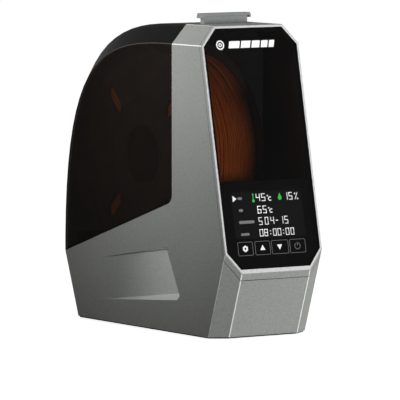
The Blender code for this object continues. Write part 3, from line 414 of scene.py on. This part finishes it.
def dress_lid():
    """Painted highlight: a lighter line along the side creases. Painted shade: a darker, more opaque tint everywhere
    but the sides.
    """
    mesh, outside = NODES["lid_shell"].data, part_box("lid_shell")
    for finish in (SMOKE_CREASE_HIGHLIGHT, SMOKE_TOP_SHADE):
        mesh.materials.append(finish)
    crease_highlight, top = 1, 2
    # Painted shade: every face but the sides takes the darker copy.
    for face in mesh.polygons:
        if abs(face.normal.x) < 0.85:
            face.material_index = top
    # Painted highlight on the side crease flats.
    for face in thin_faces(mesh):
        if face_outward(face, outside) and 0.85 < abs(face.normal.x) < 0.99:
            face.material_index = crease_highlight


def dress_bezel():
    """Bright where it faces out round the glass, black under the glass, silver paint outside with painted highlights
    on the creases.
    """
    mesh = NODES["front_bezel"].data
    for finish in (PAINT, BLACK, PAINTED_CREASE_HIGHLIGHT):
        mesh.materials.append(finish)
    rim, painted, hidden, crease_highlight = 0, 1, 2, 3
    for face in mesh.polygons:
        place = TO_PANEL @ face.center
        looks_out = face.normal.dot(PANEL_OUT) > 0.99
        looks_in = (TO_PANEL.to_3x3() @ face.normal).xy.dot(place.xy - PANEL_MIDDLE) < 0
        if looks_out and place.z > -0.1 * MM:
            face.material_index = rim
        else:
            face.material_index = hidden if looks_out or looks_in else painted
    # Painted highlight on the bezel's crease flats behind the rim.
    for face in thin_faces(mesh):
        behind_rim = (TO_PANEL @ face.center).z < -0.7 * MM
        if face.material_index == painted and behind_rim and 0.05 < abs(face.normal.x) < 0.995:
            face.material_index = crease_highlight


def on_shell_crease(face):
    """True for a flat that isn't square to the sides and is well behind the bezel."""
    return abs(face.normal.x) < 0.995 and (TO_PANEL @ face.center).z < -6 * MM


def face_outward(face, limits):
    """True for a face of the outer skin: it looks away from the middle of the box."""
    middle = (limits[0] + limits[1]) / 2
    away = face.center - Vector((0, middle.y, middle.z))
    return face.normal.dot(away) > 0.3 * away.length


def in_scoop(face, limits):
    """True for the floor and the ledge of a side scoop, seen from outside."""
    x, y, z = face.center
    return (face.normal.x * x > 0.05 * abs(x) and limits[1].x - 9 * MM < abs(x) < limits[1].x - 0.3 * MM
            and limits[0].z + 15 * MM < z < 80 * MM and -70 * MM < y < 63 * MM)


def face_inward(face, limits):
    """True for a face of the shell's inside, where the paint stops: no outer plane of the shell runs through it."""
    x, y, z = face.center
    low, high = limits
    on_skin = abs(x) > high.x - 0.3 * MM or z < low.z + 0.1 * MM
    beside_scoop = abs(x) > high.x - 9 * MM and low.z + 2.5 * MM < z < 80 * MM and y < 64 * MM
    return not (face_outward(face, limits) or on_skin or (beside_scoop and face.normal.x * x > 0))


# ---------------------------------------------------------------- pieces

def add_piece(name, bm, finish, body, smooth=None):
    mesh = bpy.data.meshes.new(name)
    bm.to_mesh(mesh)
    bm.free()
    if smooth:
        mesh.shade_smooth()
        mesh.set_sharp_from_angle(angle=math.radians(smooth))
    mesh.materials.append(finish)
    obj = bpy.data.objects.new(name, mesh)
    bpy.context.scene.collection.objects.link(obj)
    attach(obj, body)
    return obj


def add_winding():
    """The filament as laid turns: each ring of the surface steps one strand along as it goes round."""
    low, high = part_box("filament_winding")
    half = (high.x - low.x) / 2 - 0.1 * MM
    outer = (high.z - low.z) / 2 - 0.9 * MM
    inner = 33.5 * MM
    turns = int(2 * half / STRAND)
    steps, per_strand = 120, 6
    draw = random.Random(7)
    # how far each turn sits down: most lie level, and some sink in between their neighbours
    sink = [(draw.uniform(1.3, 2.0) if draw.random() < 0.28 else draw.uniform(0.0, 0.35)) * MM
            for _ in range(turns + 2)]
    bm = bmesh.new()
    rings = []
    for step in range(steps):
        angle = math.tau * step / steps
        shift = STRAND * step / steps
        ring = []
        for i in range((turns + 1) * per_strand + 1):
            along = -half - STRAND + shift + i * STRAND / per_strand
            turn, phase = i // per_strand, (i % per_strand) / per_strand
            radius = outer - sink[min(turn, turns + 1)] * (0.6 + 0.4 * math.sin(3 * angle + turn))
            radius += 0.8 * MM * math.sin(math.pi * phase) - 0.3 * MM
            ring.append((max(-half, min(half, along)), radius))
        ring.append((half, inner))
        ring.insert(0, (-half, inner))
        rings.append([bm.verts.new((SPOOL.x + x, SPOOL.y + r * math.sin(angle), SPOOL.z + r * math.cos(angle)))
                      for x, r in ring])
    for step in range(steps):
        here, after = rings[step], rings[(step + 1) % steps]
        for i in range(len(here)):
            j = (i + 1) % len(here)
            bm.faces.new((here[i], here[j], after[j], after[i]))
    bmesh.ops.remove_doubles(bm, verts=bm.verts, dist=0.000002)
    bmesh.ops.dissolve_degenerate(bm, edges=bm.edges, dist=0.000002)
    bmesh.ops.recalc_face_normals(bm, faces=bm.faces)
    winding = add_piece("winding_turns", bm, FILAMENT, "spool", smooth=50)
    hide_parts("filament_winding")


class Sheet:
    """Flat printed or lit marks gathered into one thin mesh: u across the panel and v up it, in millimetres."""

    def __init__(self, depth=FIGURE_DEPTH, thick=FIGURE_THICK):
        self.bm = bmesh.new()
        self.depth = depth
        self.thick = thick

    def shape(self, outline):
        tops = [self.bm.verts.new(PANEL @ Vector((u * MM, v * MM, self.depth))) for u, v in outline]
        lows = [self.bm.verts.new(PANEL @ Vector((u * MM, v * MM, self.depth - self.thick))) for u, v in outline]
        self.bm.faces.new(tops)
        self.bm.faces.new(reversed(lows))
        for i in range(len(tops)):
            j = (i + 1) % len(tops)
            self.bm.faces.new((tops[j], tops[i], lows[i], lows[j]))

    def bar(self, u0, v0, u1, v1):
        self.shape([(u0, v0), (u1, v0), (u1, v1), (u0, v1)])

    def pill(self, u0, v0, u1, v1, steps=6):
        """A bar with round ends."""
        radius = (v1 - v0) / 2
        middle = (v0 + v1) / 2
        outline = []
        for end, centre in ((1, u1 - radius), (-1, u0 + radius)):
            for i in range(steps + 1):
                angle = math.pi * (i / steps - 0.5)
                outline.append((centre + end * radius * math.cos(angle), middle + end * radius * math.sin(angle)))
        self.shape(outline)

    def disc(self, u, v, radius, steps=12):
        self.shape([(u + radius * math.cos(math.tau * i / steps), v + radius * math.sin(math.tau * i / steps))
                    for i in range(steps)])

    def ring(self, u, v, outer, inner, steps=20, start=0.0, sweep=360.0):
        a, b = math.radians(start), math.radians(sweep)
        for i in range(steps):
            t0, t1 = a + b * i / steps, a + b * (i + 1) / steps
            self.shape([(u + outer * math.cos(t0), v + outer * math.sin(t0)),
                        (u + outer * math.cos(t1), v + outer * math.sin(t1)),
                        (u + inner * math.cos(t1), v + inner * math.sin(t1)),
                        (u + inner * math.cos(t0), v + inner * math.sin(t0))])

    def digit(self, value, u0, v0, u1, v1, stroke=0.62):
        """A seven-segment figure: segments top, upper right, lower right, bottom, lower left, upper left, middle."""
        lit = {0: "abcdef", 1: "bc", 4: "bcfg", 5: "acdfg", 6: "acdefg", 8: "abcdefg"}[value]
        middle, half, gap = (v0 + v1) / 2, stroke / 2, 0.08
        bars = {
            "a": (u0 + gap, v1 - stroke, u1 - gap, v1), "d": (u0 + gap, v0, u1 - gap, v0 + stroke),
            "g": (u0 + gap, middle - half, u1 - gap, middle + half),
            "b": (u1 - stroke, middle + gap, u1, v1 - gap), "c": (u1 - stroke, v0 + gap, u1, middle - gap),
            "f": (u0, middle + gap, u0 + stroke, v1 - gap), "e": (u0, v0 + gap, u0 + stroke, middle - gap),
        }
        for segment in lit:
            self.bar(*bars[segment])

    def degrees(self, u0, v0, u1, v1):
        """The degree ring and the open round of a temperature unit."""
        radius = (u1 - u0) * 0.27
        self.ring(u0 + 0.7, v1 - 0.9, 0.75, 0.35, steps=12)
        self.ring(u1 - radius - 0.1, v0 + (v1 - v0) * 0.42, radius + 0.75, radius, steps=14, start=45, sweep=270)

    def put(self, name, finish):
        add_piece(name, self.bm, finish, "housing")


def add_figures():
    """The readings: warm air, humidity, set warmth, a code for the material, and the time left."""
    white = Sheet()
    white.shape([(-36.6, 71.0), (-36.6, 65.4), (-32.6, 68.2)])
    row_low, row_high = 65.0, 71.8
    white.digit(4, -11.4, row_low, -7.3, row_high)
    white.digit(5, -5.6, row_low, -1.5, row_high)
    white.degrees(0.4, 64.2, 4.9, 70.4)
    white.digit(1, 20.8, 64.9, 22.8, 71.7)
    white.digit(5, 24.2, 64.9, 28.0, 71.7)
    for i in range(2):
        white.ring(30.9 + 2.6 * i, 70.2 - 4.6 * i, 0.8, 0.35, steps=10)
    white.shape([(30.4, 65.0), (31.0, 65.0), (34.0, 71.2), (33.4, 71.2)])
    white.digit(6, -11.2, 54.0, -7.2, 60.8)
    white.digit(5, -5.4, 54.0, -1.6, 60.8)
    white.degrees(0.4, 53.4, 4.8, 59.4)
    narrow, thin = 3.7, 0.55
    for u, value in ((-11.2, 5), (-4.6, 0), (1.6, 4), (11.5, 1), (16.8, 5)):
        white.digit(value, u, 43.6, u + narrow, 50.4, stroke=thin)
    white.bar(7.3, 46.6, 9.6, 47.4)
    for u, value in ((-11.6, 0), (-6.6, 8), (2.9, 0), (7.9, 0), (16.7, 0), (22.0, 0)):
        white.digit(value, u, 33.2, u + narrow, 39.6, stroke=thin)
    for u in (0.2, 14.3):
        for v in (35.0, 37.8):
            white.disc(u, v, 0.5, steps=8)
    white.put("display_figures", GLOW_WHITE)


def add_marks():
    """A thermometer and a drop."""
    green = Sheet()
    green.bar(-14.9, 66.8, -14.1, 70.8)
    green.disc(-14.5, 65.6, 1.4, steps=14)
    green.disc(-14.5, 71.4, 0.8)
    u, v, radius, steps = 14.3, 67.2, 2.0, 12
    drop = [(u, 71.6)]
    for i in range(steps + 1):
        angle = math.radians(150 + 240 * i / steps)
        drop.append((u + radius * math.cos(angle), v + radius * math.sin(angle)))
    green.shape(drop)
    green.put("display_marks", GLOW_GREEN)


def add_captions():
    """A plain bar beside each row, in place of its words."""
    grey = Sheet()
    for u0, u1, v0, v1 in ((-31.3, -26.5, 66.6, 70.0), (-31.3, -26.8, 55.8, 59.2), (-32.6, -15.9, 44.9, 48.6),
                           (-31.9, -22.6, 34.2, 37.4)):
        grey.pill(u0, v0 + 0.5, u1, v1 - 0.5)
    grey.put("display_captions", GLOW_GREY)


def add_keys():
    """Four outlined touch keys: settings, up, down and power."""
    keys = Sheet()
    thin, corner, v0, v1 = 0.35, 1.2, 16.6, 29.0
    for u0, u1 in ((-36.9, -20.7), (-18.4, -2.0), (-0.4, 17.7), (19.3, 36.3)):
        keys.bar(u0 + corner, v0, u1 - corner, v0 + thin)
        keys.bar(u0 + corner, v1 - thin, u1 - corner, v1)
        keys.bar(u0, v0 + corner, u0 + thin, v1 - corner)
        keys.bar(u1 - thin, v0 + corner, u1, v1 - corner)
        for u, v, start in ((u0 + corner, v0 + corner, 180), (u1 - corner, v0 + corner, 270),
                            (u1 - corner, v1 - corner, 0), (u0 + corner, v1 - corner, 90)):
            keys.ring(u, v, corner, corner - thin, steps=4, start=start, sweep=90)
    keys.put("key_outlines", GLOW_KEY)

    icons = Sheet()
    icons.ring(-28.9, 22.9, 3.0, 1.15, steps=6, start=30)
    icons.shape([(-12.9, 20.9), (-7.5, 20.9), (-10.2, 25.6)])
    icons.shape([(5.5, 25.0), (8.2, 20.4), (10.9, 25.0)])
    icons.put("key_icons", GLOW_WHITE)

    power = Sheet()
    power.ring(27.6, 22.8, 3.1, 2.65, steps=26, start=115, sweep=310)
    power.bar(27.38, 23.2, 27.82, 26.4)
    power.put("power_icon", GLOW_GREY)


def add_films():
    """The black mask round the display window, and the display's faintly lit field."""
    mask = Sheet(MASK_DEPTH, FILM_THICK)
    mask.shape(round_corners(-46.4, 8.0, 46.4, 82.4, 3.0))
    mask.put("window_mask", BLACK)
    field = Sheet(FIELD_DEPTH, FILM_THICK)
    field.shape(round_corners(-38.0, 31.8, 38.0, 74.0, 2.0))
    field.put("lcd_field", LCD)


def round_corners(u0, v0, u1, v1, radius, steps=5):
    outline = []
    for u, v, start in ((u1 - radius, v1 - radius, 0), (u0 + radius, v1 - radius, 90),
                        (u0 + radius, v0 + radius, 180), (u1 - radius, v0 + radius, 270)):
        for i in range(steps + 1):
            angle = math.radians(start + 90 * i / steps)
            outline.append((u + radius * math.cos(angle), v + radius * math.sin(angle)))
    return outline


def add_emblem():
    """A plain sign printed on the top of the glass: a spool seen end on, and slanted bars that grow shorter."""
    sign = Sheet(PRINT_DEPTH, PRINT_THICK)
    sign.ring(-32.6, 207.2, 4.3, 3.1, steps=28)
    sign.ring(-32.6, 207.2, 1.9, 0.8, steps=20)
    low, high, slant, gap = 204.0, 210.4, 1.6, 1.6
    start = -24.0
    for length in (11.5, 10.0, 8.5, 7.0, 5.5):
        sign.shape([(start, low), (start + length, low), (start + length + slant, high), (start + slant, high)])
        start += length + gap
    sign.put("front_sign", EMBLEM)


def add_spool_detail():
    """Raised rings on the outer face of both flanges."""
    for side, word in ((-1, "left"), (1, "right")):
        low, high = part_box("spool_flange_" + word)
        face = high.x if side > 0 else low.x
        bm = bmesh.new()
        for radius, wide in ((97.0, 1.4), (84.5, 0.9), (52.0, 0.9), (31.5, 2.6)):
            ring_on_flange(bm, face, side, radius * MM, wide * MM, 0.5 * MM)
        add_piece("flange_ribs_" + word, bm, SPOOL_PLASTIC, "spool", smooth=40)


def ring_on_flange(bm, face, side, radius, wide, tall):
    steps = 96
    half, sunk = wide / 2, -0.02 * MM
    profile = [(radius - half, sunk), (radius - half * 0.6, tall), (radius + half * 0.6, tall),
               (radius + half, sunk)]
    rings = []
    for step in range(steps):
        angle = math.tau * step / steps
        rings.append([bm.verts.new((face + side * out, SPOOL.y + r * math.sin(angle), SPOOL.z + r * math.cos(angle)))
                      for r, out in profile])
    for step in range(steps):
        here, after = rings[step], rings[(step + 1) % steps]
        for i in range(4):
            j = (i + 1) % 4
            corners = (here[i], here[j], after[j], after[i])
            bm.faces.new(corners if side > 0 else corners[::-1])
    bmesh.ops.recalc_face_normals(bm, faces=bm.faces)


dress_nodes()
dress_shell()
dress_lid()
dress_bezel()
add_camera()
add_studio()
add_winding()
add_figures()
add_marks()
add_captions()
add_keys()
add_films()
add_emblem()
add_spool_detail()
